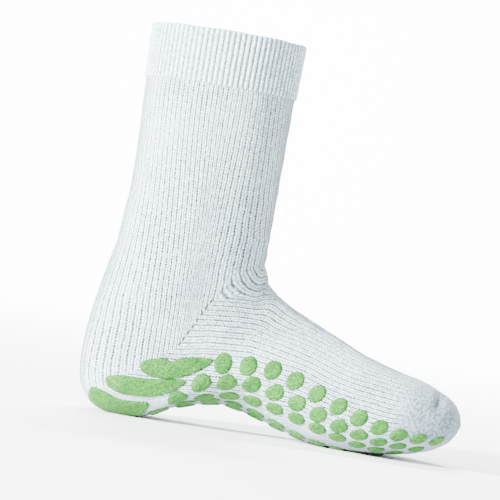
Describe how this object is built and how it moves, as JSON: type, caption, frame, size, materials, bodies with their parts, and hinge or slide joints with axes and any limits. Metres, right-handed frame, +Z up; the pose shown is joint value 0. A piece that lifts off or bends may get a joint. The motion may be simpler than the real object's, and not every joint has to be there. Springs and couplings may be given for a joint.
{
  "type": "slipper sock",
  "caption": "Knitted crew-length slipper sock for a left foot, with raised grip dots on the sole and leaf-shaped grip pads round the heel.",
  "frame": {"origin": "on the floor, below the centre of the whole sock's box", "axes": "+X towards the toes, +Y towards the outer side of the left foot, +Z up the leg"},
  "size_m": [0.254, 0.0994, 0.2581],
  "materials": {
    "knit": "matte terry knit",
    "print": "matte granular print"
  },
  "bodies": {
    "root": {"dot_far_inner_10": "print", "dot_far_inner_11": "print", "dot_far_inner_8": "print", "dot_far_inner_9": "print", "dot_near_inner_10": "print", "dot_near_inner_11": "print", "dot_near_inner_8": "print", "dot_near_inner_9": "print", "dot_near_low_1": "print", "dot_near_low_10": "print", "dot_near_low_11": "print", "dot_near_low_2": "print", "dot_near_low_3": "print", "dot_near_low_4": "print", "dot_near_low_5": "print", "dot_near_low_6": "print", "dot_near_low_7": "print", "dot_near_low_8": "print", "dot_near_low_9": "print", "dot_near_middle_10": "print", "dot_near_middle_11": "print", "dot_near_middle_8": "print", "dot_near_middle_9": "print", "dot_near_side_1": "print", "dot_near_side_10": "print", "dot_near_side_11": "print", "dot_near_side_2": "print", "dot_near_side_3": "print", "dot_near_side_4": "print", "dot_near_side_5": "print", "dot_near_side_6": "print", "dot_near_side_7": "print", "dot_near_side_8": "print", "dot_near_side_9": "print", "dot_near_top_1": "print", "dot_near_top_10": "print", "dot_near_top_11": "print", "dot_near_top_2": "print", "dot_near_top_3": "print", "dot_near_top_4": "print", "dot_near_top_5": "print", "dot_near_top_6": "print", "dot_near_top_7": "print", "dot_near_top_8": "print", "dot_near_top_9": "print", "heel_pad_far_lower": "print", "heel_pad_far_middle": "print", "heel_pad_far_upper": "print", "heel_pad_near_lower": "print", "heel_pad_near_middle": "print", "heel_pad_near_upper": "print", "sock_body": "knit"}
  },
  "joints": []
}
